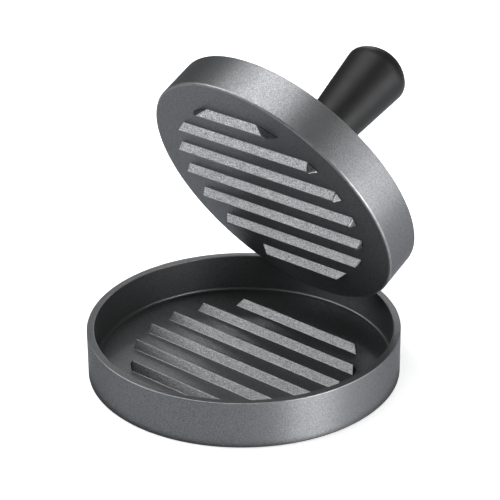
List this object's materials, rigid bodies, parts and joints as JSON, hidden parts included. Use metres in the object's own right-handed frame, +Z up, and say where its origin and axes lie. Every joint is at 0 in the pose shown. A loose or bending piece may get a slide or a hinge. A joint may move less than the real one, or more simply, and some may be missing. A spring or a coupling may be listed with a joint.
{
  "type": "patty press",
  "caption": "Round two-piece patty press: a ribbed cup-shaped base and a ribbed press plate with a flared grip, tipped open on the rim.",
  "frame": {"origin": "middle of the base's underside, on its central pad", "axes": "+Z up along the base's axis, +X along the base's ridges, +Y towards the side of the rim that the press plate leans over"},
  "size_m": [0.1249, 0.1573, 0.126],
  "materials": {
    "cast_coating": "gunmetal-grey metallic coating on cast aluminium, satin and finely speckled",
    "zinc_steel": "bright zinc plate",
    "brass": "turned",
    "grip_moulding": "satin black phenolic moulding"
  },
  "bodies": {
    "base": {"base_dish": "cast_coating"},
    "press": {"press_plate": "cast_coating", "grip_stud": "zinc_steel", "spring_washer": "zinc_steel", "grip_insert": "brass", "grip": "grip_moulding"}
  },
  "joints": [
    {"name": "press_tilt", "type": "hinge", "parent": "base", "child": "press", "pos_m": [0, 0.0565, 0.021], "axis": [0.9966, 0.0209, 0.0802], "range_deg": [0, 64]}
  ]
}
